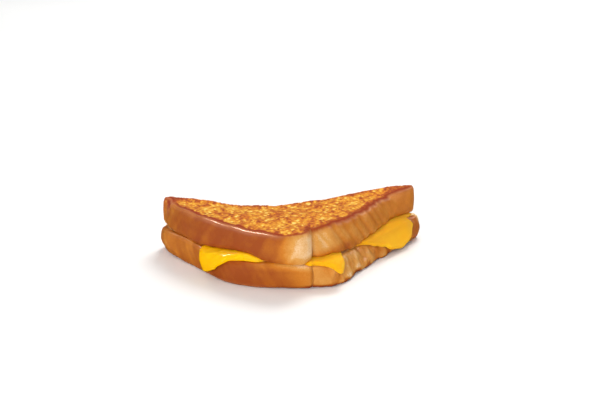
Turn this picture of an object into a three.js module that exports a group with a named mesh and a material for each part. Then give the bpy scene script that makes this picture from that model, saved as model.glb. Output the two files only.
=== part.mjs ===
// Half of a grilled cheese sandwich: a square sandwich of two thick bread slices with melted cheese between
// them, griddled on both faces and cut from corner to corner. It rests flat on its lower slice.
// Millimetres, +Z up. The knife cut faces +Y and runs along X. The crust sides meet at -Y, in the loaf's
// upper corner: from there the domed top crust runs to -X and the pleated side wall of the loaf to +X.
import * as THREE from "three";

// ---- driving dimensions, in the plan before it is centred: the loaf's crease is near X 7, the cut near Y 0

const LOWER_THICKNESS = 16.3; // of the lower slice at its crust
const UPPER_TOP = 36.8; // height of the upper toasted face at its crust
const AIR = 1.5; // between bread and bread, and shared above and below the cheese
const CHEESE_INSIDE = 2.6; // thickness of the melted layer in the middle
const EDGE_BLEND = 9; // over which the layers close up towards the rim
const CENTRE = new THREE.Vector2(3, -30); // every ring of a solid closes towards this plan point

const UPPER_PLAN = {
  crust: [
    [-80.2, -4.5], [-77.5, -15], [-69.5, -32], [-54, -53], [-36, -71], [-19, -84.5],
    [-8, -88.5], [1.2, -87], [5.8, -82.2], [6.8, -76.2],
  ],
  side: [[6.8, -76.2], [14, -75], [29.5, -63], [48.5, -41], [66, -15.5], [80, -2.2]],
  right: [85, 3.6],
  cut: [[80.5, 4.4], [45, -1.5], [0, -5.5], [-45, -2.5], [-76.5, 1.2]],
  left: [-81.8, 1.8],
};

const LOWER_PLAN = {
  crust: [
    [-82, -3], [-79, -15], [-71, -26.5], [-63.5, -37], [-55.5, -51.5], [-45, -66.5], [-30, -76.5],
    [-13, -80.5], [1, -83.2], [5.8, -83.2], [6.9, -81.6],
  ],
  side: [[6.9, -81.6], [14.5, -82], [24, -79], [32, -69.5], [46, -50], [62, -30], [77, -13.5], [85.5, -2]],
  right: [89, 5],
  cut: [[82, 5.2], [40, 3.2], [0, 2.6], [-40, 3], [-76, 3.6]],
  left: [-82, 4.2],
};

// Points along each run of a plan: domed crust, side wall, rounded corner, cut, rounded corner.
const RUN_STEPS = { crust: 40, side: 50, right: 4, cut: 14, left: 4 };

// Rounding of the crust's rims, by distance along the rim from the crease (negative on the domed crust).
const TOASTED_ROUND = [[0, 3.2]]; // between a toasted face and the crust
const INNER_ROUND = [[0, 2.2]]; // round the upper slice's underside
const SHOULDER_ROUND = [[45, 2.4], [75, 5]]; // round the lower slice's upper face, where the cheese bends over
const BASE_ROUND = [[-122, 7], [-98, 2.6], [88, 2.6], [106, 5.5]]; // round the face that it rests on
const CUT_ROUND = 0.8; // of both rims at the knife cut

// How far each slice's crust stands further out below than above, by distance along its rim.
const UPPER_FLARE = [
  [-125, 3.4], [-110, 2.6], [-80, 2.4], [-56, 1.8], [-42, 0.8], [-28, 0.8], [-16, 2.2], [-2, 2],
  [3, 5.5], [8, 6.5], [17, 4.8], [26, 4.8], [38, 4.6], [52, 5.2], [68, 4.6], [84, 5], [95, 3.8],
  [104, 1.5], [110, 0.4],
];
const LOWER_FLARE = [[-4, 0], [10, 2], [26, 5], [60, 6.2], [88, 6], [104, 3], [112, 1]];

// How far the layer rises at the rim above its height in the middle of the sandwich.
const LAYER_RISE = [
  [-128, 0], [-105, 0.5], [-92, 0.2], [-78, -0.8], [-66, -0.2], [-58, 1.2], [-50, 1.8], [-40, 1.8],
  [-35, 0.8], [-31, 0.4], [-15, 0.3], [-13, 0.1], [8, -1.6], [28, -1.8], [48, -2.4], [62, -1.6], [82, -0.6],
  [98, 0],
];
const RISE_FADE = [6, 20]; // it fades between these distances inside the rim
const LAYER_ABOVE = 0.9; // height of the layer's middle over the lower slice's thickness
const ROOM_CLOSES = [-4, -0.5]; // outside the cheese's own edge, the room between the slices closes up

// Forms of the faces: how deep and where each is, and how far it reaches along X and Y.
const LAYER_DIP = { depth: 1.3, x: 0, reachX: 50, y: 0, reachY: 26 }; // in the middle of the cut
const PRESSED = { depth: 8.5, x: -12, reachX: 50, y: 2, reachY: 36 }; // of the upper face, by the knife
const FOLDED = { depth: -1.6, x: 7, reachX: 12, y: 0, reachY: 16 }; // up again beside that
const DISHED = { depth: 0.9, from: 3, to: 12 }; // the upper face inside its rim
const LAYER_SWELL = { height: 0.15, size: 0.8 };
const FACE_SWELL = { height: 0.3, size: 1 };

// How far the cheese reaches past the lower slice's rim, by distance along the rim from the crease
// (negative on the domed crust). Below 0 it stays inside the rim, above 0 it hangs down the wall.
const CHEESE_REACH = [
  [-130, -4], [-90, -7], [-83.5, -5], [-81, 0], [-79.5, 4.5], [-77, 10], [-74.5, 13.5], [-72.5, 14.4],
  [-69.5, 13.6], [-64, 11.6], [-58, 7.4], [-52, 3.4], [-42, 0.6], [-36, 0], [-32.5, -1.5], [-28, -6],
  [-14, -7], [-8, -3], [-3, 0.5], [7, 0], [11, 1.5], [14, 4.6], [16, 6], [18.8, 5.2], [21.5, 2],
  [26, -6], [33, -11], [41, -11], [48, -9], [54, -6], [59, -2.5], [66, 1], [74, 4], [81, 8.5],
  [92, 10.5], [98, 10], [104, 8.5], [107.5, 3], [110, -4], [114, -5],
];
// Thickness of the cheese where it leaves the sandwich, by the same distance.
const CHEESE_LIP = [
  [-90, 0.8], [-83, 1.8], [-76, 3.2], [-64, 4], [-52, 4.6], [-42, 4.2], [-35, 2.4], [-28, 0.8],
  [-10, 0.8], [-3, 2.2], [15, 3], [22, 1.8], [28, 0.8], [40, 0.8], [50, 2], [70, 2.6], [98, 2.4], [107, 0.8],
];
// The same two at the knife cut, where the cheese has bulged out a little towards its middle.
const CUT_REACH = [
  [124, -4.6], [140, 0.4], [156, 0.6], [172, 1.6], [188, 2.4], [204, 1.8], [222, 2.8], [240, 1.2],
  [266, 0.4], [284, -4.6],
];
const CUT_LIP = [
  [124, 1], [140, 2], [160, 2.2], [188, 3.2], [204, 2.8], [222, 3.4], [244, 2.4], [266, 2], [284, 1],
];

// Pleats of the loaf's side wall: shallow valleys that lean forward as they rise, unevenly spaced.
const PLEATS = { first: 30, count: 8, pitch: 9.6, uneven: 1.4, lean: 0.7, width: 3, depth: [1, 0.6, 0.8] };
const DOME_WAVE = { height: 0.25, length: 33 }; // along the domed crust
const LEAST_SLANT = 0.45; // share of a move towards the centre that still counts as inward at a sharp tip

// ---- small helpers

const { lerp, smoothstep } = THREE.MathUtils;
const vector = ([x, y]) => new THREE.Vector2(x, y);
const bump = (x, centre, width) => Math.exp(-(((x - centre) / width) ** 2));

// A value from a table of [where, value] rows, eased between them and held flat past its ends.
function keyed(table, where) {
  if (where <= table[0][0]) return table[0][1];
  for (let i = 1; i < table.length; i++) {
    const [from, low] = table[i - 1];
    const [to, high] = table[i];
    if (where <= to) return lerp(low, high, smoothstep(where, from, to));
  }
  return table[table.length - 1][1];
}

// ---- plan outlines

// A closed outline, counterclockwise from above, as points with their outward normal, their distance along
// the rim from the crease and a crust share: 1 on the crusts, 0 on the knife cut.
function outlineOf(plan, steps) {
  const spline = (points, count) => new THREE.SplineCurve(points.map(vector)).getSpacedPoints(count);
  const rounded = (from, tip, to, count) =>
    new THREE.QuadraticBezierCurve(vector(from), vector(tip), vector(to)).getPoints(count);
  const { crust, side, right, cut, left } = plan;
  const runs = [
    [spline(crust, steps.crust), 1, 1],
    [spline(side, steps.side), 1, 1],
    [rounded(side.at(-1), right, cut[0], steps.right), 1, 0],
    [spline(cut, steps.cut), 0, 0],
    [rounded(cut.at(-1), left, crust[0], steps.left), 0, 1],
  ];
  const points = [];
  for (const [run, crustFrom, crustTo] of runs) {
    run.slice(0, -1).forEach((p, i) => {
      points.push({ x: p.x, y: p.y, crust: lerp(crustFrom, crustTo, i / (run.length - 1)) });
    });
  }
  let along = 0;
  points.forEach((p, i) => {
    const before = points.at(i - 1);
    const after = points[(i + 1) % points.length];
    const length = Math.hypot(after.x - before.x, after.y - before.y);
    p.nx = (after.y - before.y) / length;
    p.ny = (before.x - after.x) / length;
    if (i > 0) along += Math.hypot(p.x - before.x, p.y - before.y);
    p.along = along;
  });
  const crease = points[steps.crust].along;
  for (const p of points) p.along -= crease;
  return points;
}

// The plan point a distance inside the outline, moved towards the centre so that no two ever cross.
function inward(p, distance) {
  const dx = CENTRE.x - p.x;
  const dy = CENTRE.y - p.y;
  const length = Math.hypot(dx, dy);
  const slant = Math.max(LEAST_SLANT, -(dx * p.nx + dy * p.ny) / length);
  const share = distance / slant / length;
  return { x: p.x + dx * share, y: p.y + dy * share };
}

const upperRim = outlineOf(UPPER_PLAN, RUN_STEPS);
const lowerRim = outlineOf(LOWER_PLAN, RUN_STEPS);

// The nearest place on the lower slice's rim: its distance along the rim, crust share and how far inside.
function placeOnRim(x, y) {
  let best = { distance: Infinity };
  lowerRim.forEach((a, i) => {
    const b = lowerRim[(i + 1) % lowerRim.length];
    const ex = b.x - a.x;
    const ey = b.y - a.y;
    const share = THREE.MathUtils.clamp(((x - a.x) * ex + (y - a.y) * ey) / (ex * ex + ey * ey), 0, 1);
    const distance = Math.hypot(x - a.x - ex * share, y - a.y - ey * share);
    if (distance >= best.distance) return;
    const inside = (x - a.x) * a.nx + (y - a.y) * a.ny < 0 ? distance : -distance;
    const along = a.along + share * Math.hypot(ex, ey);
    best = { distance, inside, along, crust: lerp(a.crust, b.crust, share) };
  });
  return best;
}

// ---- heights of the faces

const reachAt = (place) => keyed(place.crust > 0 ? CHEESE_REACH : CUT_REACH, place.along);
const lipAt = (place) => keyed(place.crust > 0 ? CHEESE_LIP : CUT_LIP, place.along);

// Thickness of the cheese at a place: full in the middle, thinner or thicker at its own edge.
function cheeseThickness(place) {
  const fromEdge = place.inside + Math.min(0, reachAt(place));
  return lerp(lipAt(place), CHEESE_INSIDE, smoothstep(fromEdge, 0, EDGE_BLEND));
}

// Room between the two slices: the cheese and its air, closing up outside the cheese.
function roomBetween(place) {
  const fromEdge = place.inside + Math.min(0, reachAt(place));
  return AIR + cheeseThickness(place) * smoothstep(fromEdge, ...ROOM_CLOSES);
}

const formAt = (form, x, y) => form.depth * bump(x, form.x, form.reachX) * bump(y, form.y, form.reachY);

// A faint unevenness of a face, from two crossing waves.
function swell({ height, size }, x, y) {
  const across = Math.sin((0.21 * x + 0.13 * y) / size);
  const slanting = Math.sin((0.11 * x - 0.27 * y) / size + 1.3);
  return height * (across + slanting);
}

// Height of the middle of the layer between the slices.
function layerMiddle(x, y, place) {
  const rise = keyed(LAYER_RISE, place.along) * (1 - smoothstep(place.inside, ...RISE_FADE));
  const level = LOWER_THICKNESS + LAYER_ABOVE - formAt(LAYER_DIP, x, y);
  return level + rise * place.crust + swell(LAYER_SWELL, x, y);
}

function lowerFace(x, y) {
  const place = placeOnRim(x, y);
  return layerMiddle(x, y, place) - roomBetween(place) / 2;
}

function upperUnderside(x, y) {
  const place = placeOnRim(x, y);
  return layerMiddle(x, y, place) + roomBetween(place) / 2;
}

function upperFace(x, y) {
  const dish = DISHED.depth * smoothstep(placeOnRim(x, y).inside, DISHED.from, DISHED.to);
  return UPPER_TOP - formAt(PRESSED, x, y) - formAt(FOLDED, x, y) - dish + swell(FACE_SWELL, x, y);
}

// Outward relief of a slice's wall: pleats on the side wall, a faint wave on the domed crust.
function wallRelief(p, height) {
  const turn = (2 * Math.PI) / DOME_WAVE.length;
  const wave = p.along < 0 ? DOME_WAVE.height * Math.sin(p.along * turn) : 0;
  let pleat = 0;
  for (let i = 0; i < PLEATS.count; i++) {
    const valley = PLEATS.first + i * PLEATS.pitch + PLEATS.uneven * Math.sin(i * PLEATS.pitch);
    const depth = PLEATS.depth[i % PLEATS.depth.length];
    pleat -= depth * bump(p.along + PLEATS.lean * (height - LOWER_THICKNESS), valley, PLEATS.width);
  }
  return p.crust === 1 ? wave + pleat : 0;
}

// ---- solids as stacks of closed rings

// Skins rings of equal length, from the middle of the underside out and up to the middle of the top.
function skinned(rings, bottomCentre, topCentre) {
  const count = rings[0].length;
  const positions = [...rings.flat(), bottomCentre, topCentre].flat();
  const bottom = rings.length * count;
  const faces = [];
  for (let i = 0; i < count; i++) {
    const next = (i + 1) % count;
    faces.push(bottom, next, i);
    for (let k = 0; k + 1 < rings.length; k++) {
      const low = k * count;
      const high = low + count;
      faces.push(low + i, low + next, high + next, low + i, high + next, high + i);
    }
    const last = (rings.length - 1) * count;
    faces.push(last + i, last + next, bottom + 1);
  }
  const geometry = new THREE.BufferGeometry();
  geometry.setAttribute("position", new THREE.Float32BufferAttribute(positions, 3));
  geometry.setIndex(faces);
  geometry.computeVertexNormals();
  return geometry;
}

// Rings of a face, as shares of the way from its middle to its rim.
const FLAT_SHARES = [0.5];
const MATING_SHARES = [0.3, 0.6, 0.76, 0.86, 0.94];
const TOASTED_SHARES = [0.18, 0.38, 0.57, 0.73, 0.85, 0.94];
const WALL_SHARES = [0.25, 0.5, 0.75]; // and of the crust between its rims, from below
const RIM_ANGLES = [0, 45, 90]; // degrees round each rim's rounding
const WALL_FULLNESS = 0.8; // of the crust half way up

// A bread slice between two faces given by height functions. Two tables give the rounding of its rims, and a
// third how far its crust stands further out below than above.
function sliceOf(rim, { underside, face, lowShares, highShares, lowRound, highRound, flare }) {
  const roundAt = (table, p) => lerp(CUT_ROUND, keyed(table, p.along), p.crust);
  const insetAt = (p, share) =>
    p.crust * (keyed(flare, p.along) * share - WALL_FULLNESS * Math.sin(share * Math.PI));
  const startOf = (table, share) => rim.map((p) => inward(p, roundAt(table, p) + insetAt(p, share)));
  const lowStart = startOf(lowRound, 0);
  const highStart = startOf(highRound, 1);
  const low = lowStart.map(({ x, y }) => underside(x, y));
  const high = highStart.map(({ x, y }) => face(x, y));
  const faceRing = (start, share, height) =>
    start.map(({ x, y }) => {
      const px = lerp(CENTRE.x, x, share);
      const py = lerp(CENTRE.y, y, share);
      return [px, py, height(px, py)];
    });
  const wallPoint = (p, i, inset, height) => {
    const { x, y } = inward(p, inset + insetAt(p, (height - low[i]) / (high[i] - low[i])));
    const relief = wallRelief(p, height);
    return [x + p.nx * relief, y + p.ny * relief, height];
  };
  const rimRing = (degrees, heights, table, side) => {
    const angle = THREE.MathUtils.degToRad(degrees);
    return rim.map((p, i) => {
      const round = roundAt(table, p);
      return wallPoint(p, i, round * (1 - Math.sin(angle)), heights[i] + side * round * (1 - Math.cos(angle)));
    });
  };
  const wallRing = (share) =>
    rim.map((p, i) => {
      const from = low[i] + roundAt(lowRound, p);
      const to = high[i] - roundAt(highRound, p);
      return wallPoint(p, i, 0, lerp(from, to, share));
    });
  const rings = [
    ...lowShares.map((share) => faceRing(lowStart, share, underside)),
    ...RIM_ANGLES.map((degrees) => rimRing(degrees, low, lowRound, 1)),
    ...WALL_SHARES.map(wallRing),
    ...RIM_ANGLES.toReversed().map((degrees) => rimRing(degrees, high, highRound, -1)),
    ...highShares.toReversed().map((share) => faceRing(highStart, share, face)),
  ];
  const { x, y } = CENTRE;
  return skinned(rings, [x, y, underside(x, y)], [x, y, face(x, y)]);
}

const CHEESE_STEPS = { crust: 54, side: 56, right: 3, cut: 16, left: 3 };
const CHEESE_INNER = 18; // the layer is flat up to this far inside the rim
const CHEESE_SHARES = [0.4, 0.8]; // its inner rings, as shares of the way to there
const CHEESE_PATH = [0, 0.2, 0.4, 0.58, 0.72, 0.86, 1]; // rings along what is left up to the rounded tip
const WALL_AIR = 1.5; // from the lower slice's crust to the inside of the hanging cheese
const CUT_AIR = 0.5; // the same at the knife cut
const CUT_BEND = 0.5; // radius inside the cheese where it bends over the knife cut
const FLARE_LEFT = 0.7; // share of the lower slice's flare that is left where the cheese starts to bend
const FLARE_HEIGHT = 10.5; // over which the hanging cheese takes it up

// The melted layer: flat between the slices, then over the rim and down the wall where it has run out.
function cheeseOf() {
  const rim = outlineOf(LOWER_PLAN, CHEESE_STEPS).map((p) => {
    const reach = reachAt(p);
    return { ...p, reach, end: CHEESE_INNER + reach, lip: cheeseThickness({ ...p, inside: 0 }) };
  });
  // A point of the sheet: how far along its path it is, and on which side of its middle it lies.
  const sheetPoint = (p, distance, offset) => {
    const flare = FLARE_LEFT * keyed(LOWER_FLARE, p.along) * p.crust;
    const inner = lerp(CUT_BEND, keyed(SHOULDER_ROUND, p.along), p.crust);
    const bend = inner + p.lip / 2;
    const steepest = Math.PI / 2 - Math.atan(flare / FLARE_HEIGHT);
    const flat = CHEESE_INNER - flare - inner + lerp(CUT_AIR, WALL_AIR, p.crust);
    const angle = THREE.MathUtils.clamp((distance - flat) / bend, 0, steepest);
    const straight = Math.max(0, distance - flat - bend * steepest);
    const out = Math.min(distance, flat) + (bend + offset) * Math.sin(angle) + straight * Math.cos(steepest);
    const drop = bend * (1 - Math.cos(angle)) + straight * Math.sin(steepest);
    const base = inward(p, Math.max(0, CHEESE_INNER - out));
    const past = Math.max(0, out - CHEESE_INNER);
    const inside = Math.max(CHEESE_INNER - flat, CHEESE_INNER - out);
    const hold = inward(p, inside);
    const held = layerMiddle(hold.x, hold.y, placeOnRim(hold.x, hold.y));
    const height = held - drop + offset * Math.cos(angle);
    return [base.x + p.nx * past, base.y + p.ny * past, height];
  };
  const half = (p, distance) => {
    const at = inward(p, Math.max(-Math.min(0, p.reach), CHEESE_INNER - distance));
    return cheeseThickness(placeOnRim(at.x, at.y)) / 2;
  };
  const sheetRing = (share, side) =>
    rim.map((p) => {
      const distance = (p.end - p.lip / 2) * share;
      return sheetPoint(p, distance, side * half(p, distance));
    });
  const tipRing = (degrees) => {
    const angle = THREE.MathUtils.degToRad(degrees);
    return rim.map((p) => {
      const radius = half(p, p.end - p.lip / 2);
      return sheetPoint(p, p.end - p.lip / 2 + radius * Math.cos(angle), radius * Math.sin(angle));
    });
  };
  const innerRing = (share, side) =>
    rim.map((p) => {
      const { x, y } = inward(p, CHEESE_INNER);
      const px = lerp(CENTRE.x, x, share);
      const py = lerp(CENTRE.y, y, share);
      return [px, py, layerMiddle(px, py, placeOnRim(px, py)) + side * half(p, 0)];
    });
  const rings = [
    ...CHEESE_SHARES.map((share) => innerRing(share, -1)),
    ...CHEESE_PATH.map((share) => sheetRing(share, -1)),
    tipRing(-45),
    tipRing(0),
    tipRing(45),
    ...CHEESE_PATH.toReversed().map((share) => sheetRing(share, 1)),
    ...CHEESE_SHARES.toReversed().map((share) => innerRing(share, 1)),
  ];
  const middle = layerMiddle(CENTRE.x, CENTRE.y, placeOnRim(CENTRE.x, CENTRE.y));
  const thickness = CHEESE_INSIDE / 2;
  return skinned(rings, [CENTRE.x, CENTRE.y, middle - thickness], [CENTRE.x, CENTRE.y, middle + thickness]);
}

// ---- the sandwich

const toast = new THREE.MeshStandardMaterial({ color: 0xc98a45, roughness: 0.75 });
const melted = new THREE.MeshStandardMaterial({ color: 0xfbb813, roughness: 0.35 });

const group = new THREE.Group();
function add(name, geometry, material) {
  const mesh = new THREE.Mesh(geometry, material);
  mesh.name = name;
  group.add(mesh);
}

add(
  "lower_slice",
  sliceOf(lowerRim, {
    underside: () => 0,
    face: lowerFace,
    lowShares: FLAT_SHARES,
    highShares: MATING_SHARES,
    lowRound: BASE_ROUND,
    highRound: SHOULDER_ROUND,
    flare: LOWER_FLARE,
  }),
  toast,
);
add("cheese", cheeseOf(), melted);
add(
  "upper_slice",
  sliceOf(upperRim, {
    underside: upperUnderside,
    face: upperFace,
    lowShares: MATING_SHARES,
    highShares: TOASTED_SHARES,
    lowRound: INNER_ROUND,
    highRound: TOASTED_ROUND,
    flare: UPPER_FLARE,
  }),
  toast,
);

// The origin is in the middle of the footprint, on the surface that the sandwich rests on.
const box = new THREE.Box3().setFromObject(group);
const middle = box.getCenter(new THREE.Vector3());
group.position.set(-middle.x, -middle.y, -box.min.z);

export default group;
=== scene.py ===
"""Half of a grilled cheese sandwich over its CAD frame: griddled bread, its crust and the melted cheese.

Everything is in the row frame, in metres: the knife cut faces +Y, the loaf's corner points to -Y and the
sandwich rests at Z 0. Relief and colour masks are worked out in millimetres on a fine copy of each solid.
Distances along the rim start at the crease between the two walls, negative along the domed crust and
positive along the pleated side wall.
"""

import itertools
import math
import typing

import bmesh
import bpy
import numpy as np
from mathutils import Matrix, Vector
from mathutils.kdtree import KDTree

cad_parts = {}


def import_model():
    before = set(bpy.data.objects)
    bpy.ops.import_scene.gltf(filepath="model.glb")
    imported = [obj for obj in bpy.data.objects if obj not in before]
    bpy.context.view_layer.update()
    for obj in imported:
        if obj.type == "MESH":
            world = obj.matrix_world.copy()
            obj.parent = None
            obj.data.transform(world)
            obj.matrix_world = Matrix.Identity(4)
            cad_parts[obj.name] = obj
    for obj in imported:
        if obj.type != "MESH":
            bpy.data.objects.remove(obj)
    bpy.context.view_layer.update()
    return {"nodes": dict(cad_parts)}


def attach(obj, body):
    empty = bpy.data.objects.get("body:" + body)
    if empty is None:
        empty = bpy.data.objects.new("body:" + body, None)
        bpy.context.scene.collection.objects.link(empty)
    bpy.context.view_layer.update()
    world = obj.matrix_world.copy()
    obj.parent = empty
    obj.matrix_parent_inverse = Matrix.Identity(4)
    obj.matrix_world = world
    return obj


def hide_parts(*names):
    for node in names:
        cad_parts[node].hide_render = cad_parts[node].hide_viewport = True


MM = 0.001


class Slice(typing.NamedTuple):
    """What one slice of bread has of its own. Places and depths are in millimetres."""

    node: str
    griddled_side: int  # 1 where the griddled face looks up and -1 where it looks down
    rim_height: float  # at which the outline of its crust is measured
    tones: list  # browning of the crust by distance along the rim
    lip_tones: list  # the same, added next to the filling
    lip_heights: tuple  # the same, added next to the filling; darker on the upper slice as painted shade between the slices, paler on the lower
    valley_depth: float  # added between the side wall's pleats to the depth of the solid's own
    valley_painted_shade: float  # painted shade added there to the tone
    lump_height: float  # of the side wall's crumples
    lump_painted_shading: float  # painted light and shade: by which their tops are paler and their hollows darker
    spot_tone: float  # added in the dark spots along the foot of the side wall
    seed: int


# ---- the slices

UPPER = Slice(
    node="upper_slice",
    griddled_side=1,
    rim_height=24.5,
    tones=[
        [-125, 0.62], [-112, 0.84], [-95, 0.9], [-72, 1.0], [-60, 1.1], [-42, 1.06], [-32, 0.84],
        [-25, 0.47], [-18, 0.22], [-9, 0.14], [-1, 0.12], [1, 0.18], [9, 0.2], [18, 0.32], [26, 0.4],
        [60, 0.45], [100, 0.54],
    ],
    # darker near the lower edge: painted shade between the slices
    lip_tones=[[-34, 0], [-24, 0.16], [-1, 0.2], [1, 0.1], [12, 0.3], [30, 0.3], [46, 0]],
    lip_heights=(24, 19),
    valley_depth=0.3,
    valley_painted_shade=0.16,
    lump_height=0.05,
    lump_painted_shading=0,
    spot_tone=0,
    seed=100,
)
LOWER = Slice(
    node="lower_slice",
    griddled_side=-1,
    rim_height=8.0,
    tones=[
        [-125, 0.52], [-100, 0.6], [-84, 0.68], [-70, 0.85], [-44, 0.96], [-28, 0.87], [-19, 0.78],
        [-9, 0.54], [-1, 0.5], [1, 0.36], [12, 0.36], [24, 0.29], [40, 0.3], [60, 0.38], [90, 0.5],
        [108, 0.68],
    ],
    lip_tones=[[-44, 0], [-30, -0.34], [-16, -0.46], [-1, -0.38], [1, -0.1], [20, 0]],
    lip_heights=(10.5, 15.5),
    valley_depth=0,
    valley_painted_shade=0.06,
    lump_height=0.6,
    lump_painted_shading=0.12,
    spot_tone=0.8,
    seed=500,
)

# ---- the fine meshes

BREAD_VOXEL = 0.55 * MM
BREAD_ROUNDS = 12  # of smoothing, which takes the facets of the solids away
CHEESE_VOXEL = 0.5 * MM
CHEESE_ROUNDS = 45
SAME_PLACE = 0.001 * MM  # vertices of a solid nearer than this are one
SMOOTHING = 0.5  # the share of the way to its neighbours' middle that a vertex moves in a round

# ---- the plan of the sandwich, in millimetres

PLAN_CENTRE = np.array([1.0, 12.0])
CREASE_X = 4.8  # where the domed crust meets the side wall
RIM_STEPS = 480  # directions in which the outline of a slice is measured
RIM_BAND = 0.5  # half the height of the slab of vertices that it is measured on
STEP_REACH = 1.2  # the farthest that a place may lie along the rim from the nearest step of the outline
PLACES_AT_ONCE = 8000  # compared with the outline, which bounds the memory used
CUT_ENDS = (-129, 111)  # distances along the rim where the crust ends at the knife cut
CUT_END_BLUR = 3
WALL_START = (-8, 4)  # distances along the rim over which the dome turns into the side wall

# ---- how a place faces, by the normal's share along one axis

SHOULDER_FACING = 0.7  # the rim between a face and a wall lies where the surface is turned this far
SHOULDER_BAND = 0.1
FACE_FACING = (0.1, 0.4)  # from wall to face
CUT_FACING = (0.5, 0.75)  # from crust to knife cut

# ---- zones of a slice, in millimetres

RAGGED = 0.5  # how far the border of each zone wanders
RIM_WIDTH = [[-40, 2.0], [-10, 1.1], [8, 1.0], [24, 1.8]]  # of bare crust round the toasting
TOASTED_BORDER = (0, 1)
INNER_CRUMB = (2.2, 4.2)  # distances inside the lip over which the crust gives way to crumb
INNER_CRUST_WIDER = 8  # the crust of the inner face reaches this much farther round the corners
SCORCHED_TIP = (-78.0, 41.0)  # the corner of the toasted face that has browned most
SCORCHED_TIP_REACH = (5, 12)  # distances from it over which that fades
SCORCHED_TIP_RAGGED = 4
SCORCHED_WIDTH = 0.95  # of the dark line round the toasting
SCORCHED_WIDTH_BY_WALL = 0.4  # added along the side wall
SCORCHED_WIDTH_BY_CREASE = 1.2
SCORCHED_OUT_BY_WALL = 0.3  # by which the line lies farther out along the side wall
SCORCHED_RAGGED = 0.5
SCORCHED_SINK = 0.12  # by which it is sunk
CREASE_DARK = (-3, 4)  # place along the rim and reach of the wider scorching by the crease

# ---- noise of a slice

# Smooth noise: the size of its features in millimetres, or 1 on places that are scaled before, its octaves
# and its seed.
WAVES = {
    "ragged": (3.4, 2, 0),
    "crags": (2.4, 2, 30),
    "rolling": (11, 1, 40),
    "specks": (1.3, 1, 50),
    "bend_x": (2.2, 2, 55),
    "bend_y": (2.2, 2, 57),
    "bend_z": (2.2, 2, 59),
    "crumb_swell": (3, 2, 80),
    "crumb_cloud": (5, 3, 85),
    "wrinkle": (1, 2, 90),
    "lump": (1, 3, 95),
    "swell": (7, 1, 100),
    "fine_swell": (2.6, 2, 105),
    "cloud": (9, 2, 110),
    "mottle": (3, 2, 115),
    "streak": (1, 2, 120),
    "valley_cloud": (12, 1, 125),
    "spots": (6, 1, 130),
}
# Scattered cells: how far apart they are in millimetres, and their seed.
PORES = {"cells": (2.6, 10), "pits": (1.4, 20), "big": (2.6, 60), "small": (1.25, 70)}

# ---- the griddled face: cells are measured in their own size, and numbered from 0 to 1

CELL_STRETCH = np.array([1, 0.68, 1])
HOLLOW_EDGE = (0.18, 0.62)
HOLLOW_FROM = 0.42  # cells with a higher number are hollow
PALE_HOLLOW_FROM = 0.7
PIT_EDGE = (0.15, 0.55)
PIT_FROM = 0.5
DARK_PIT_FROM = 0.75
CELL_WALL = (0.05, 0.3)
BROWNED_RIM = (1.5, 6)  # millimetres inside the shoulder over which the browner edge fades
GRIDDLED_LEVEL = -0.12
GRIDDLED_RELIEF = {"crags": 0.22, "rolling": 0.16, "hollows": -0.34, "pits": -0.2}
BROWN_LEVEL = 0.51
BROWN = {
    "crags": 0.34,
    "rolling": 0.08,
    "cell_walls": 0.14,
    "pale_hollows": -0.4,
    "dark_pits": 0.3,
    "specks": 0.3,
    "by_rim": 0.24,
}

# ---- the crumb

CRUMB_STRETCH = np.array([0.7, 1, 1.2])
CRUMB_BEND = 0.55
BIG_EDGE = (0.08, 0.2)  # of a big pore, in the size of its cell
BIG_GROWTH = 0.4  # of the outer edge, for the pore with the highest number
BIG_FROM = 0.55
SMALL_EDGE = (0.1, 0.55)
SMALL_FROM = 0.3
SMALL_LEAST = 0.3  # the strength of the weakest small pore
SMALL_PORE_SHADE = 0.7  # painted shade of a small pore, where a big one has 1
CRUMB_RELIEF = {"big": -0.5, "small": -0.2, "swell": 0.12}
CRUMB_CLOUD = 0.16
RIND_REACH = 4.0  # the knife cut is toasted less deep than this
RIND_RAGGED = 0.5
RIND_EDGE = (0.4, 2)  # depths over which the rind's brown fades

# ---- pleats of the side wall, as in the solids, in millimetres

PLEAT_FIRST = 30
PLEAT_COUNT = 8
PLEAT_PITCH = 9.6
PLEAT_UNEVEN = 1.4
PLEAT_LEAN = 0.7
PLEAT_LEVEL = 16.3
VALLEY_WIDTH = 1.9
VALLEY_FADE = (64, 84)  # distances along the rim over which the valleys lose part of their strength
VALLEY_FADED = 0.55  # that part
VALLEY_CLOUD = (0.7, 0.4)  # the mean strength of a valley's painted shade and how much it varies

# ---- the crust, in millimetres

# A start or an end is the stretch of the rim over which a mark comes or goes. A size is a mark's length along
# the rim and its height. A lean is how far a place counts as farther along the rim for each millimetre up.
GROOVE_WIDTH = 0.75  # of the crease
GROOVE_DEPTH = 0.5
SWELL = {"swell": 0.1, "fine_swell": 0.05}
WRINKLE_SIZE = (2.6, 14)
WRINKLE_START = (1, 4)
WRINKLE_END = (22, 34)
WRINKLE_TONE_END = (24, 40)
WRINKLE_HEIGHT = 0.1
WRINKLE_TONE = 0.06
LUMP_SIZE = (6, 7)
LUMP_LEAN = 0.4
LUMP_RISE = -0.3
LUMP_START = (2, 16)
CLOUD_TONE = 0.07
MOTTLE_TONE = 0.06
MOTTLE_START = (8, 30)
STREAK_SIZE = (5, 22)
STREAK_LEAN = -0.6
STREAK_END = (-30, -10)
STREAK_TONE = 0.14
SPOT_START = (4, 20)
SPOT_EDGE = (0.1, 0.5)
SPOT_HEIGHTS = (1, 4.5)
RIM_TONE = 0.14
RIM_TONE_BY_WALL = 0.2
RIM_TONE_REACH = 1.6
LIP_FACING = (0.5, 0.9)
LIP_REACH = (3, 7)
LIP_SWELL = 0.4

# ---- the shining bead along the rim, in millimetres; its pale colour is a painted highlight

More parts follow.
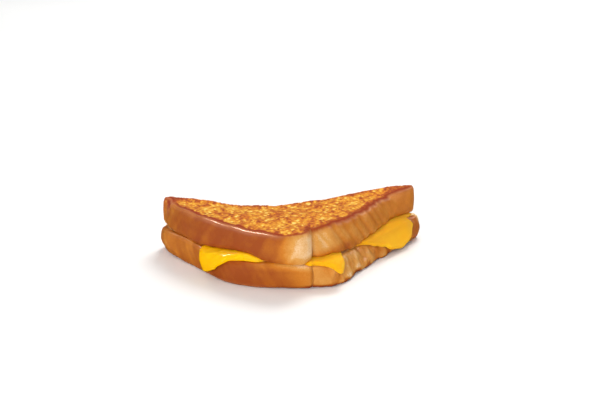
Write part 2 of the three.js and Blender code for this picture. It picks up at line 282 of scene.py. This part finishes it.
BEAD_FACING = (0, 0.3)
BEAD_INSIDE = 0.2
BEAD_OUT_BY_WALL = 1.2
BEAD_WIDTH = 0.7
BEAD_WIDTH_BY_WALL = 0.2
BEAD_DOME_END = (-40, -20)
BEAD_WALL_START = (34, 48)
BEAD_WALL_FADE = (90, 102)
BEAD_WALL_FADED = 0.7
BEAD_GAP = 3.4  # how far its break at each valley reaches
BEAD_HEIGHT = 0.22

# ---- the cheese, in millimetres

CHEESE_SWELL = 0.5  # by which the cheese's faces stand out, so that it sticks to the bread
CHEESE_FACING = (0.5, 0.8)
CHEESE_WAVES = (0.16, 8, 900)  # height, size and seed
OILY_WAVES = (0.04, 4.5, 905)
OILY_END = (-45, -5)  # the oily run lies at the left, by distance along the knife cut
BORDER_DRIFT_WAVES = (2, 12, 910)
CHEESE_PAINTED_SHADE = [[-30, 0], [-8, 0.5], [8, 0.75], [15, 0.5], [27, 0.46], [38, 0.45]]  # painted shade that deepens its orange, by distance along the knife cut
SHADE_UNDER_BREAD = 0.6  # painted shade added high on the cheese at the right, under the upper slice
SHADE_START = (20, 40)
SHADE_HEIGHTS = (9, 16)

# ---- colours, from 0 to 255, by how brown, deep or open a place is

CRUST_COLOURS = [
    [0.0, (246, 224, 188)], [0.25, (215, 154, 74)], [0.5, (197, 118, 28)], [0.75, (174, 93, 18)],
    [1.0, (154, 70, 16)],
]
GRIDDLED_COLOURS = [
    [0.0, (241, 211, 112)], [0.25, (234, 178, 56)], [0.5, (219, 140, 22)], [0.75, (197, 104, 14)],
    [1.0, (162, 64, 6)],
]
# darker by the pore mask, which is painted shade in the pores
CRUMB_COLOURS = [[0.0, (240, 208, 154)], [0.5, (226, 186, 126)], [1.0, (198, 150, 90)]]
RIND_COLOUR = (196, 124, 48)
# painted shade in the crease between the dome and the side wall
CREASE_SHADE_COLOUR = (120, 62, 22)
SCORCHED_COLOUR = (140, 36, 2)
# painted highlight: the pale colour mixed onto the bead
BEAD_HIGHLIGHT_COLOUR = (238, 166, 112)
CHEESE_COLOURS = [[0.3, (255, 184, 0)], [0.7, (255, 194, 2)]]
# painted shade: the darker orange of the cheese where it lies in shade
SHADED_CHEESE_COLOUR = (228, 160, 0)
FLOOR_COLOURS = [[0.3, (250, 250, 249)], [0.7, (253, 253, 252)]]
GLOSS_TINT = (1, 0.78, 0.66)  # of what shines on the buttered crust

# ---- the bread's material

SPECK_SIZE = 0.8
GRAIN_SIZE = 0.35
SPECKLED = {"crust": 0.22, "griddled": 0.5, "crumb": 0.5}  # how much fine noise varies each zone's browning
CREASE_SHADE_LINE = 0.32  # millimetres to each side of the crease that are painted dark as shade
CREASE_SHADE_SHARE = 0.45  # of its own colour in such a line, mixed with what lies below
SCORCHED_SHARE = 0.86
# how much of the painted highlight colour is mixed onto the bead
BEAD_HIGHLIGHT_SHARE = 0.3
CRUST_ROUGHNESS = 0.42
BEAD_POLISH = 0.2  # taken off that on the bead
ROUGHER = {"crumb": 0.4, "griddled": 0.3, "scorched": 0.6}  # added to it in each zone
BUMP_SPECK = 0.7
BUMP_GRAIN = 0.3
BUMP_ON_CRUST = 0.12  # the share of the bump that is left on the crust

# ---- the cheese's material

CHEESE_CLOUD_SIZE = 9
CHEESE_BUMP_SIZE = 1.6
CHEESE_ROUGHNESS = 0.88
CHEESE_OILED = 0.67  # taken off that where it is oily

# ---- the camera: the view of the crease's top through a long lens

CREASE_TOP = Vector((4.688, -32.291, 36.3)) * MM
CAMERA_AZIMUTH = math.radians(-6.2)
CAMERA_ELEVATION = math.radians(18.5)
CAMERA_DISTANCE = 0.9635
CAMERA_LENS = 96
CAMERA_SENSOR = 36
CAMERA_CLIP = (0.01, 50)
CREASE_IN_VIEW = (11.8, -28.0)  # pixels right of and above the middle of a picture 600 pixels wide
PICTURE_WIDTH = 600

# ---- the studio

FLOOR_REACH = 6.0
FLOOR_CLOUD_SIZE = 60
WORLD_LIGHT = 0.55
# Each light's place, size, power and whether it only shines on surfaces.
SOFTBOXES = {
    "key_behind": ((0.35, 0.75, 1.05), 0.6, 12, False),
    "fill_front": ((-0.45, -1.25, 0.55), 0.7, 13, False),
    "gloss_left": ((-0.68, 0.04, 0.72), 0.3, 19, True),
    "gloss_right": ((0.75, 0.27, 0.58), 0.1, 5, True),
}


# ---- small helpers


def srgb(red, green, blue):
    """A colour given from 0 to 255 as the screen shows it, as linear RGBA."""
    shares = [value / 255 for value in (red, green, blue)]
    return [s / 12.92 if s <= 0.04045 else ((s + 0.055) / 1.055) ** 2.4 for s in shares] + [1.0]


def eased(value, start, end):
    """0 before start, 1 after end and smooth between."""
    share = np.clip((value - start) / (end - start), 0, 1)
    return share * share * (3 - 2 * share)


def bell(value, width):
    """1 where a value is 0, falling to nothing past the width on both sides."""
    return np.exp(-((value / width) ** 2))


def keyed(table, where):
    """Values from a table of [where, value] rows, straight between them and held flat past its ends."""
    places, values = zip(*table)
    return np.interp(where, places, values)


def summed(layers, strengths):
    """The layers that have a strength, each times that, added up."""
    return sum(strength * layers[name] for name, strength in strengths.items())


def hashed(cells, seed):
    """A number from 0 to 1 for each row of whole cell coordinates, the same each time for one seed."""
    factors = [np.uint32(factor) for factor in (374761393, 668265263, 2246822519, 1274126177)]
    x, y, z = (cells[..., axis].astype(np.uint32) for axis in range(3))
    value = x * factors[0] + y * factors[1] + z * factors[2]
    value = value + np.uint32(seed * 40503 + 977)
    value = (value ^ (value >> np.uint32(13))) * factors[3]
    value = (value ^ (value >> np.uint32(15))) * factors[2]
    value = value ^ (value >> np.uint32(16))
    return value / 2.0**32


def waves(points, size, seed, octaves=1):
    """Smooth noise from about -1 to 1, with features about size across and finer ones for each octave."""
    total = np.zeros(len(points))
    strength = 1.0
    for octave in range(octaves):
        scaled = points / size * 2**octave
        cell = np.floor(scaled).astype(np.int64)
        part = scaled - cell
        part = part * part * (3 - 2 * part)
        layer = np.zeros(len(points))
        for corner in itertools.product((0, 1), repeat=3):
            weight = np.prod(np.where(corner, part, 1 - part), axis=1)
            layer += weight * hashed(cell + corner, seed + octave)
        total += strength * (2 * layer - 1)
        strength *= 0.5
    return total


def pores(points, size, seed):
    """Distances, in sizes, to the two nearest of scattered points, and the number of the nearest."""
    scaled = points / size
    cell = np.floor(scaled).astype(np.int64)
    first = np.full(len(points), np.inf)
    second = np.full(len(points), np.inf)
    number = np.zeros(len(points))
    for step in itertools.product((-1, 0, 1), repeat=3):
        near = cell + step
        spot = near + np.stack([hashed(near, seed + axis) for axis in range(3)], axis=1)
        distance = np.linalg.norm(scaled - spot, axis=1)
        closer = distance < first
        second = np.where(closer, first, np.minimum(second, distance))
        number = np.where(closer, hashed(near, seed + 3), number)
        first = np.where(closer, distance, first)
    return first, second, number


# ---- meshes


def fine_copy(name, node, voxel, rounds):
    """A new piece with the form of a CAD node on an even mesh, its facets smoothed away."""
    piece = bpy.data.objects.new(name, node.data.copy())
    bpy.context.scene.collection.objects.link(piece)
    joined = bmesh.new()
    joined.from_mesh(piece.data)
    bmesh.ops.remove_doubles(joined, verts=joined.verts, dist=SAME_PLACE)
    joined.to_mesh(piece.data)
    joined.free()
    even = piece.modifiers.new("even", "REMESH")
    even.mode = "VOXEL"
    even.voxel_size = voxel
    even.use_smooth_shade = True
    smooth = piece.modifiers.new("smooth", "SMOOTH")
    smooth.factor = SMOOTHING
    smooth.iterations = rounds
    evaluated = piece.evaluated_get(bpy.context.evaluated_depsgraph_get())
    piece.data = bpy.data.meshes.new_from_object(evaluated)
    piece.modifiers.clear()
    piece.data.materials.clear()
    return piece


def points_of(mesh):
    """A mesh's vertices in millimetres and their normals."""
    points = np.empty(len(mesh.vertices) * 3)
    mesh.vertices.foreach_get("co", points)
    normals = np.empty(len(mesh.vertices) * 3)
    mesh.vertices.foreach_get("normal", normals)
    return points.reshape(-1, 3) / MM, normals.reshape(-1, 3)


def move_points(mesh, points):
    mesh.vertices.foreach_set("co", (points * MM).ravel())
    mesh.update()


def store(mesh, **masks):
    """Keeps each mask as an attribute that a material reads by its name."""
    for name, values in masks.items():
        layer = mesh.attributes.new(name, "FLOAT", "POINT")
        layer.data.foreach_set("value", values.astype(np.float32))


def outline_of(points):
    """A closed outline through scattered points round the plan's centre, counterclockwise from the crease.

    Gives its points, their distances along it and the directions in which it runs.
    """
    spread = points[:, :2] - PLAN_CENTRE
    turn = np.arctan2(spread[:, 1], spread[:, 0])
    step = ((turn + np.pi) / (2 * np.pi) * RIM_STEPS).astype(int) % RIM_STEPS
    count = np.bincount(step, minlength=RIM_STEPS)
    filled = np.flatnonzero(count)
    radius = np.bincount(step, np.hypot(spread[:, 0], spread[:, 1]), RIM_STEPS)[filled] / count[filled]
    radius = np.interp(np.arange(RIM_STEPS), filled, radius, period=RIM_STEPS)
    angle = (np.arange(RIM_STEPS) + 0.5) / RIM_STEPS * 2 * np.pi - np.pi
    rim = PLAN_CENTRE + radius[:, None] * np.stack([np.cos(angle), np.sin(angle)], axis=1)
    front = np.where(rim[:, 1] < PLAN_CENTRE[1], np.abs(rim[:, 0] - CREASE_X), np.inf)
    rim = np.roll(rim, -int(np.argmin(front)), axis=0)
    ahead = np.roll(rim, -1, axis=0) - rim
    lengths = np.linalg.norm(ahead, axis=1)
    along = np.concatenate([[0], np.cumsum(lengths)[:-1]])
    along = np.where(along > lengths.sum() / 2, along - lengths.sum(), along)
    heading = ahead + np.roll(ahead, 1, axis=0)
    return rim, along, heading / np.linalg.norm(heading, axis=1)[:, None]


def place_by(outline, points):
    """For each point, its distance along an outline from the crease and how far inside the outline it is."""
    rim, along, heading = outline
    places = []
    for part in np.array_split(points[:, :2], 1 + len(points) // PLACES_AT_ONCE):
        nearest = np.argmin(((part[:, None] - rim[None]) ** 2).sum(axis=2), axis=1)
        offset = part - rim[nearest]
        forward = heading[nearest]
        shift = np.clip((offset * forward).sum(axis=1), -STEP_REACH, STEP_REACH)
        inside = offset[:, 1] * forward[:, 0] - offset[:, 0] * forward[:, 1]
        places.append(np.stack([along[nearest] + shift, inside], axis=1))
    return np.concatenate(places).T


# ---- bread


class Surface:
    """The vertices of a slice in millimetres, with where they lie and how they face."""

    def __init__(self, mesh, slice_):
        self.seed = slice_.seed
        self.points, self.normals = points_of(mesh)
        self.height = self.points[:, 2]
        self.facing = slice_.griddled_side * self.normals[:, 2]
        self.face = eased(self.facing, *FACE_FACING)
        self.inner_face = eased(-self.facing, *FACE_FACING)
        self.knife = eased(self.normals[:, 1], *CUT_FACING)
        self.along, _ = self.placed_by(np.abs(self.height - slice_.rim_height) < RIM_BAND)
        _, self.inside = self.placed_by(np.abs(self.facing - SHOULDER_FACING) < SHOULDER_BAND)
        _, self.inside_lip = self.placed_by(np.abs(-self.facing - SHOULDER_FACING) < SHOULDER_BAND)
        self.by_wall = eased(self.along, *WALL_START)
        self.rim_width = keyed(RIM_WIDTH, self.along)
        self.ragged = RAGGED * self.waves("ragged")

    def placed_by(self, chosen):
        return place_by(outline_of(self.points[chosen]), self.points)

    def waves(self, name, places=None):
        size, octaves, seed = WAVES[name]
        return waves(self.points if places is None else places, size, self.seed + seed, octaves)

    def pores(self, name, places):
        size, seed = PORES[name]
        return pores(places, size, self.seed + seed)

    def on_wall(self, size, lean, rise=0.0):
        """Places on the wall in sizes along the rim and up, leaning with height and rising along the rim."""
        sideways = (self.along + lean * self.height) / size[0]
        upwards = (self.height + rise * self.along) / size[1]
        return np.stack([sideways, upwards, 0 * sideways], axis=1)

    def valleys(self, width):
        """How near each place is to a valley between the side wall's pleats, from 0 to 1."""
        slanted = self.along + PLEAT_LEAN * (self.height - PLEAT_LEVEL)
        total = np.zeros(len(slanted))
        for index in range(PLEAT_COUNT):
            valley = PLEAT_FIRST + index * PLEAT_PITCH + PLEAT_UNEVEN * math.sin(index * PLEAT_PITCH)
            total += bell(slanted - valley, width)
        return np.minimum(total, 1)

    def crust_share(self, wider=0):
        """1 along the crust sides and 0 along the knife cut, the crust reaching wider round the corners."""
        start = CUT_ENDS[0] - wider
        end = CUT_ENDS[1] + wider
        share = eased(self.along, start - CUT_END_BLUR, start + CUT_END_BLUR)
        return share * (1 - eased(self.along, end - CUT_END_BLUR, end + CUT_END_BLUR))


def bread_zones(here):
    """How far each place is griddled face, crumb and crust, from 0 to 1."""
    toasted = eased(here.inside + here.ragged - here.rim_width, *TOASTED_BORDER)
    griddled = here.face * np.maximum(1 - here.crust_share(), toasted) * (1 - here.knife)
    open_crumb = eased(here.inside_lip + here.ragged, *INNER_CRUMB)
    inner = here.inner_face * np.maximum(1 - here.crust_share(INNER_CRUST_WIDER), open_crumb)
    crumb = np.maximum(inner, here.knife)
    return griddled, crumb, np.clip(1 - np.maximum(griddled, crumb), 0, 1)


def scorched_places(here, griddled):
    """The dark line round the toasting, wider by the crease, and the corner that has browned most."""
    by_crease = bell(here.along - CREASE_DARK[0], CREASE_DARK[1])
    width = SCORCHED_WIDTH + SCORCHED_WIDTH_BY_WALL * here.by_wall + SCORCHED_WIDTH_BY_CREASE * by_crease
    across = here.inside - here.rim_width - SCORCHED_RAGGED * here.ragged
    across += SCORCHED_OUT_BY_WALL * here.by_wall
    line = here.face * here.crust_share() * bell(across, width)
    tip = np.hypot(here.points[:, 0] - SCORCHED_TIP[0], here.points[:, 1] - SCORCHED_TIP[1])
    corner = 1 - eased(tip + SCORCHED_TIP_RAGGED * here.ragged, *SCORCHED_TIP_REACH)
    return np.maximum(line, griddled * corner)


def griddled_surface(here):
    """Torn cells of the crumb, their walls browned and their hollows pale: the relief and the browning."""
    torn = here.points * CELL_STRETCH
    cell, next_cell, cell_number = here.pores("cells", torn)
    pit, _, pit_number = here.pores("pits", torn)
    hollows = (1 - eased(cell, *HOLLOW_EDGE)) * (cell_number > HOLLOW_FROM)
    pits = (1 - eased(pit, *PIT_EDGE)) * (pit_number > PIT_FROM)
    layers = {
        "crags": here.waves("crags", torn),
        "rolling": here.waves("rolling"),
        "hollows": hollows,
        "pale_hollows": hollows * (cell_number > PALE_HOLLOW_FROM),
        "pits": pits,
        "dark_pits": pits * (pit_number > DARK_PIT_FROM),
        "cell_walls": 1 - eased(next_cell - cell, *CELL_WALL),
        "specks": here.waves("specks", torn),
        "by_rim": 1 - eased(here.inside, *BROWNED_RIM),
    }
    return GRIDDLED_LEVEL + summed(layers, GRIDDLED_RELIEF), BROWN_LEVEL + summed(layers, BROWN)


def crumb_surface(here):
    """Open crumb: its relief, and how far each place is a pore, which the material paints darker as shade."""
    bend = np.stack([here.waves(name) for name in ("bend_x", "bend_y", "bend_z")], axis=1)
    bent = here.points * CRUMB_STRETCH + CRUMB_BEND * bend
    big, _, big_number = here.pores("big", bent)
    small, _, small_number = here.pores("small", bent)
    big_edge = BIG_EDGE[1] + BIG_GROWTH * big_number
    small_strength = SMALL_LEAST + (1 - SMALL_LEAST) * small_number
    layers = {
        "big": (1 - eased(big, BIG_EDGE[0], big_edge)) * (big_number > BIG_FROM),
        "small": small_strength * (1 - eased(small, *SMALL_EDGE)) * (small_number > SMALL_FROM),
        "swell": here.waves("crumb_swell"),
    }
    pore = np.maximum(layers["big"], SMALL_PORE_SHADE * layers["small"])
    return summed(layers, CRUMB_RELIEF), pore + CRUMB_CLOUD * here.waves("crumb_cloud")


def rind_places(here, crumb):
    """The toasted band of the knife cut, by its distance from the nearest crust or griddled place."""
    cut = here.knife > 0.5
    edge = np.flatnonzero((crumb < 0.5) & (here.points[:, 1] > here.points[cut, 1].min() - RIND_REACH))
    tree = KDTree(len(edge))
    for index in edge:
        tree.insert(here.points[index], int(index))
    tree.balance()
    depth = np.full(len(here.points), RIND_REACH)
    depth[cut] = [tree.find(place)[2] for place in here.points[cut]]
    return 1 - eased(depth + RIND_RAGGED * here.ragged, *RIND_EDGE)


def crust_surface(here, slice_):
    """The crust's groove at the crease, wrinkles, pleats and crumples: the relief and the tone, which is
    browning with painted light and shade on the pleats' valleys and the crumples.
    """
    along = here.along
    wrinkle = eased(along, *WRINKLE_START) * here.waves("wrinkle", here.on_wall(WRINKLE_SIZE, PLEAT_LEAN))
    valley = here.valleys(VALLEY_WIDTH) * (1 - VALLEY_FADED * eased(along, *VALLEY_FADE))
    lump = eased(along, *LUMP_START) * here.waves("lump", here.on_wall(LUMP_SIZE, LUMP_LEAN, LUMP_RISE))
    relief = summed({name: here.waves(name) for name in SWELL}, SWELL)
    relief += WRINKLE_HEIGHT * (1 - eased(along, *WRINKLE_END)) * wrinkle
    relief -= GROOVE_DEPTH * bell(along, GROOVE_WIDTH) + slice_.valley_depth * valley
    relief += slice_.lump_height * lump

    streak = here.waves("streak", here.on_wall(STREAK_SIZE, STREAK_LEAN * slice_.griddled_side))
    spots = eased(along, *SPOT_START) * eased(here.waves("spots"), *SPOT_EDGE)
    tone = keyed(slice_.tones, along) + CLOUD_TONE * here.waves("cloud")
    tone += WRINKLE_TONE * (1 - eased(along, *WRINKLE_TONE_END)) * wrinkle
    tone += MOTTLE_TONE * eased(np.abs(along), *MOTTLE_START) * here.waves("mottle")
    tone += STREAK_TONE * (1 - eased(along, *STREAK_END)) * streak
    tone += keyed(slice_.lip_tones, along) * eased(here.height, *slice_.lip_heights)
    # painted light and shade following the crumples: paler tops, darker hollows
    tone -= slice_.lump_painted_shading * lump
    tone += slice_.spot_tone * spots * (1 - eased(here.height, *SPOT_HEIGHTS))
    # painted shade darkening the valleys between the pleats
    tone += slice_.valley_painted_shade * valley * (VALLEY_CLOUD[0] + VALLEY_CLOUD[1] * here.waves("valley_cloud"))
    by_rim = here.face * bell(here.inside - 0.5 * here.rim_width, RIM_TONE_REACH)
    tone += (RIM_TONE + RIM_TONE_BY_WALL * here.by_wall) * by_rim
    return relief, tone


def rim_bead(here):
    """The raised, shining edge of the rim; the material also paints it with a pale highlight colour. On the
    side wall it breaks at each valley.
    """
    across = here.inside - BEAD_INSIDE + BEAD_OUT_BY_WALL * here.by_wall
    bead = bell(across, BEAD_WIDTH + BEAD_WIDTH_BY_WALL * here.by_wall)
    bead *= eased(here.facing, *BEAD_FACING) * (1 - here.knife)
    on_dome = 1 - eased(here.along, *BEAD_DOME_END)
    on_wall = eased(here.along, *BEAD_WALL_START) * (1 - BEAD_WALL_FADED * eased(here.along, *BEAD_WALL_FADE))
    return bead * np.where(here.along > 0, on_wall * (1 - here.valleys(BEAD_GAP)), on_dome)


def dress_slice(mesh, slice_):
    """Gives a slice its relief, and stores the masks that its material reads."""
    here = Surface(mesh, slice_)
    griddled, crumb, crust = bread_zones(here)
    scorched = scorched_places(here, griddled)
    griddled_relief, brown = griddled_surface(here)
    crumb_relief, pore = crumb_surface(here)
    crust_relief, tone = crust_surface(here, slice_)
    bead = rim_bead(here)
    lip = eased(-here.facing, *LIP_FACING) * (1 - eased(here.inside_lip, *LIP_REACH)) * (1 - here.knife)

    relief = griddled * griddled_relief + crumb * crumb_relief + crust * crust_relief
    relief += LIP_SWELL * lip - SCORCHED_SINK * scorched + BEAD_HEIGHT * bead
    moved = here.points + here.normals * relief[:, None]
    moved[:, 2] = np.maximum(moved[:, 2], 0)
    move_points(mesh, moved)
    store(mesh, griddled=griddled, crumb=crumb, scorched=scorched, brown=brown, pore=pore)
    store(mesh, rind=rind_places(here, crumb), tone=tone, along=here.along, bead=bead)


# ---- materials


class Shader:
    """A material under construction: nodes made by kind, their sockets set or linked by name."""

    def __init__(self, name):
        self.material = bpy.data.materials.new(name)
        self.material.use_nodes = True
        self.tree = self.material.node_tree
        self.tree.nodes.clear()

    def fill(self, socket, value):
        """Links a socket to another one, or sets it to a plain value."""
        if isinstance(value, bpy.types.NodeSocket):
            self.tree.links.new(value, socket)
        else:
            socket.default_value = value

    def node(self, kind, sockets=(), **settings):
        node = self.tree.nodes.new("ShaderNode" + kind)
        for key, value in settings.items():
            setattr(node, key, value)
        for key, value in dict(sockets).items():
            self.fill(node.inputs[key], value)
        return node

    def attribute(self, name):
        return self.node("Attribute", attribute_name=name).outputs["Fac"]

    def noise(self, size_mm, detail=3.0):
        place = self.node("TexCoord").outputs["Object"]
        sockets = {"Vector": place, "Scale": 1 / (size_mm * MM), "Detail": detail}
        return self.node("TexNoise", sockets).outputs["Fac"]

    def math(self, operation, first, second, clamp=False):
        node = self.node("Math", operation=operation, use_clamp=clamp)
        self.fill(node.inputs[0], first)
        self.fill(node.inputs[1], second)
        return node.outputs[0]

    def varied(self, value, noise, amount):
        """A value with noise added that is worth nothing in its middle."""
        return self.math("ADD", value, self.math("MULTIPLY", self.math("SUBTRACT", noise, 0.5), amount))

    def ramp(self, value, stops):
        """Colours by value from [place, colour] stops."""
        node = self.node("ValToRGB", {"Fac": value})
        elements = node.color_ramp.elements
        while len(elements) < len(stops):
            elements.new(0.5)
        for element, (place, colour) in zip(elements, stops):
            element.position = place
            element.color = srgb(*colour)
        return node.outputs["Color"]

    def mix(self, share, first, second):
        node = self.node("Mix", data_type="RGBA")
        for socket, value in zip([node.inputs[0], node.inputs[6], node.inputs[7]], (share, first, second)):
            self.fill(socket, value)
        return node.outputs[2]

    def finish(self, surface):
        output = self.node("OutputMaterial")
        self.tree.links.new(surface, output.inputs["Surface"])
        return self.material


def crust_colour(shader, speck):
    """From pale butter colour to brown, with a dark line of painted shade in the crease."""
    tone = shader.varied(shader.attribute("tone"), speck, SPECKLED["crust"])
    colour = shader.ramp(tone, CRUST_COLOURS)
    from_crease = shader.math("ABSOLUTE", shader.attribute("along"), 0.0)
    # painted shade: a dark line along the crease
    crease = shader.math("LESS_THAN", from_crease, CREASE_SHADE_LINE)
    return shader.mix(shader.math("MULTIPLY", crease, CREASE_SHADE_SHARE), colour, srgb(*CREASE_SHADE_COLOUR))


def crumb_colour(shader, grain):
    # the pores painted darker as shade, with fine noise
    pore = shader.varied(shader.attribute("pore"), grain, SPECKLED["crumb"])
    return shader.mix(shader.attribute("rind"), shader.ramp(pore, CRUMB_COLOURS), srgb(*RIND_COLOUR))


def bread_material():
    shader = Shader("griddled_bread")
    masks = {name: shader.attribute(name) for name in ("griddled", "crumb", "bead")}
    masks["scorched"] = shader.math("MULTIPLY", shader.attribute("scorched"), SCORCHED_SHARE)
    speck = shader.noise(SPECK_SIZE)
    grain = shader.noise(GRAIN_SIZE)

    brown = shader.varied(shader.attribute("brown"), speck, SPECKLED["griddled"])
    colour = shader.mix(masks["griddled"], crust_colour(shader, speck), shader.ramp(brown, GRIDDLED_COLOURS))
    colour = shader.mix(masks["scorched"], colour, srgb(*SCORCHED_COLOUR))
    # painted highlight along the bead of the rim
    colour = shader.mix(shader.math("MULTIPLY", masks["bead"], BEAD_HIGHLIGHT_SHARE), colour, srgb(*BEAD_HIGHLIGHT_COLOUR))
    colour = shader.mix(masks["crumb"], colour, crumb_colour(shader, grain))

    polish = shader.math("MULTIPLY", masks["bead"], BEAD_POLISH)
    roughness = shader.math("SUBTRACT", CRUST_ROUGHNESS, polish, clamp=True)
    for name, amount in ROUGHER.items():
        roughness = shader.math("ADD", roughness, shader.math("MULTIPLY", masks[name], amount), clamp=True)

    grains = shader.math("MULTIPLY", grain, BUMP_GRAIN)
    height = shader.math("ADD", shader.math("MULTIPLY", speck, BUMP_SPECK), grains)
    rough_share = shader.math("ADD", BUMP_ON_CRUST, shader.math("MAXIMUM", masks["griddled"], masks["crumb"]))
    height = shader.math("MULTIPLY", height, rough_share)
    bump = shader.node("Bump", {"Height": height, "Distance": 0.35 * MM, "Strength": 0.8})
    surface = shader.node("BsdfPrincipled", {
        "Base Color": colour,
        "Roughness": roughness,
        "Normal": bump.outputs["Normal"],
        "Specular IOR Level": 0.35,
        "Subsurface Weight": 0.12,
        "Subsurface Radius": (1.0, 0.5, 0.25),
        "Subsurface Scale": 1.2 * MM,
    })
    return shader.finish(surface.outputs["BSDF"])


def cheese_material():
    shader = Shader("melted_cheese")
    cloud = shader.noise(CHEESE_CLOUD_SIZE, 2)
    oiled = shader.math("MULTIPLY", shader.attribute("oily"), CHEESE_OILED)
    colour = shader.ramp(cloud, CHEESE_COLOURS)
    # painted shade: deeper orange by the 'deep' mask
    colour = shader.mix(shader.attribute("deep"), colour, srgb(*SHADED_CHEESE_COLOUR))
    ripple = shader.noise(CHEESE_BUMP_SIZE, 2)
    bump = shader.node("Bump", {"Height": ripple, "Distance": 0.05 * MM, "Strength": 0.5})
    surface = shader.node("BsdfPrincipled", {
        "Base Color": colour,
        "Roughness": shader.math("SUBTRACT", CHEESE_ROUGHNESS, oiled),
        "Specular IOR Level": 0.46,
        "Normal": bump.outputs["Normal"],
        "Subsurface Weight": 0.5,
        "Subsurface Radius": (1.0, 0.55, 0.08),
        "Subsurface Scale": 3 * MM,
    })
    return shader.finish(surface.outputs["BSDF"])


def floor_material():
    shader = Shader("pale_floor")
    colour = shader.ramp(shader.noise(FLOOR_CLOUD_SIZE, 2), FLOOR_COLOURS)
    surface = shader.node("BsdfPrincipled", {"Base Color": colour, "Roughness": 0.5})
    return shader.finish(surface.outputs["BSDF"])


# ---- the pieces


def stand_for(piece, node_name, material):
    piece.data.materials.append(material)
    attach(piece, "root")
    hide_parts(node_name)


def make_bread(nodes):
    material = bread_material()
    for slice_ in (UPPER, LOWER):
        piece = fine_copy(slice_.node + "_bread", nodes[slice_.node], BREAD_VOXEL, BREAD_ROUNDS)
        dress_slice(piece.data, slice_)
        stand_for(piece, slice_.node, material)


def make_cheese(nodes):
    piece = fine_copy("melted_cheese", nodes["cheese"], CHEESE_VOXEL, CHEESE_ROUNDS)
    points, normals = points_of(piece.data)
    wave, oily_wave, drift = (
        height * waves(points, size, seed) for height, size, seed in (CHEESE_WAVES, OILY_WAVES, BORDER_DRIFT_WAVES)
    )
    across = points[:, 0] + drift
    oily = 1 - eased(across, *OILY_END)
    # painted shade under the upper slice, high on the cheese at the right
    under = eased(across, *SHADE_START) * eased(points[:, 2], *SHADE_HEIGHTS)
    relief = CHEESE_SWELL * eased(np.abs(normals[:, 2]), *CHEESE_FACING) + wave + oily * oily_wave
    move_points(piece.data, points + normals * relief[:, None])
    # the 'deep' mask is painted shade
    store(piece.data, oily=oily, deep=keyed(CHEESE_PAINTED_SHADE, across) + SHADE_UNDER_BREAD * under)
    stand_for(piece, "cheese", cheese_material())


# ---- the studio


def make_floor():
    mesh = bpy.data.meshes.new("studio_floor")
    corners = [(-1, -1), (1, -1), (1, 1), (-1, 1)]
    mesh.from_pydata([(x * FLOOR_REACH, y * FLOOR_REACH, 0) for x, y in corners], [], [(0, 1, 2, 3)])
    mesh.materials.append(floor_material())
    floor = bpy.data.objects.new("studio_floor", mesh)
    bpy.context.scene.collection.objects.link(floor)
    floor.visible_glossy = False


def make_camera():
    """Looks along the photograph's direction, with the crease's top at its place in the picture."""
    sideways, rise = CAMERA_AZIMUTH, CAMERA_ELEVATION
    back = Vector((math.sin(sideways) * math.cos(rise), -math.cos(sideways) * math.cos(rise), math.sin(rise)))
    right = Vector((math.cos(sideways), math.sin(sideways), 0))
    up = back.cross(right)
    pixel = CAMERA_SENSOR / CAMERA_LENS / PICTURE_WIDTH * CAMERA_DISTANCE
    place = CREASE_TOP + back * CAMERA_DISTANCE - right * CREASE_IN_VIEW[0] * pixel
    place -= up * CREASE_IN_VIEW[1] * pixel
    data = bpy.data.cameras.new("camera")
    data.lens = CAMERA_LENS
    data.sensor_width = CAMERA_SENSOR
    data.clip_start, data.clip_end = CAMERA_CLIP
    camera = bpy.data.objects.new("camera", data)
    camera.matrix_world = Matrix.Translation(place) @ Matrix((right, up, back)).transposed().to_4x4()
    bpy.context.scene.collection.objects.link(camera)
    bpy.context.scene.camera = camera


def add_softbox(name, place, size, power, gloss):
    """A square light that faces the sandwich. It lights surfaces, or with gloss only shines on them."""
    data = bpy.data.lights.new(name, "AREA")
    data.size = size
    data.energy = power
    data.color = GLOSS_TINT if gloss else (1, 1, 1)
    light = bpy.data.objects.new(name, data)
    light.location = place
    light.rotation_euler = (-Vector(place)).to_track_quat("-Z", "Y").to_euler()
    light.visible_glossy = gloss
    light.visible_diffuse = not gloss
    bpy.context.scene.collection.objects.link(light)


def make_lights():
    world = bpy.data.worlds.new("studio")
    bpy.context.scene.world = world
    world.use_nodes = True
    world.node_tree.nodes["Background"].inputs["Color"].default_value = (1, 1, 1, 1)
    world.node_tree.nodes["Background"].inputs["Strength"].default_value = WORLD_LIGHT
    world.cycles_visibility.glossy = False
    for name, values in SOFTBOXES.items():
        add_softbox(name, *values)
    bpy.context.scene.view_settings.view_transform = "Standard"


def main():
    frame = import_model()
    make_camera()
    make_bread(frame["nodes"])
    make_cheese(frame["nodes"])
    make_floor()
    make_lights()


main()
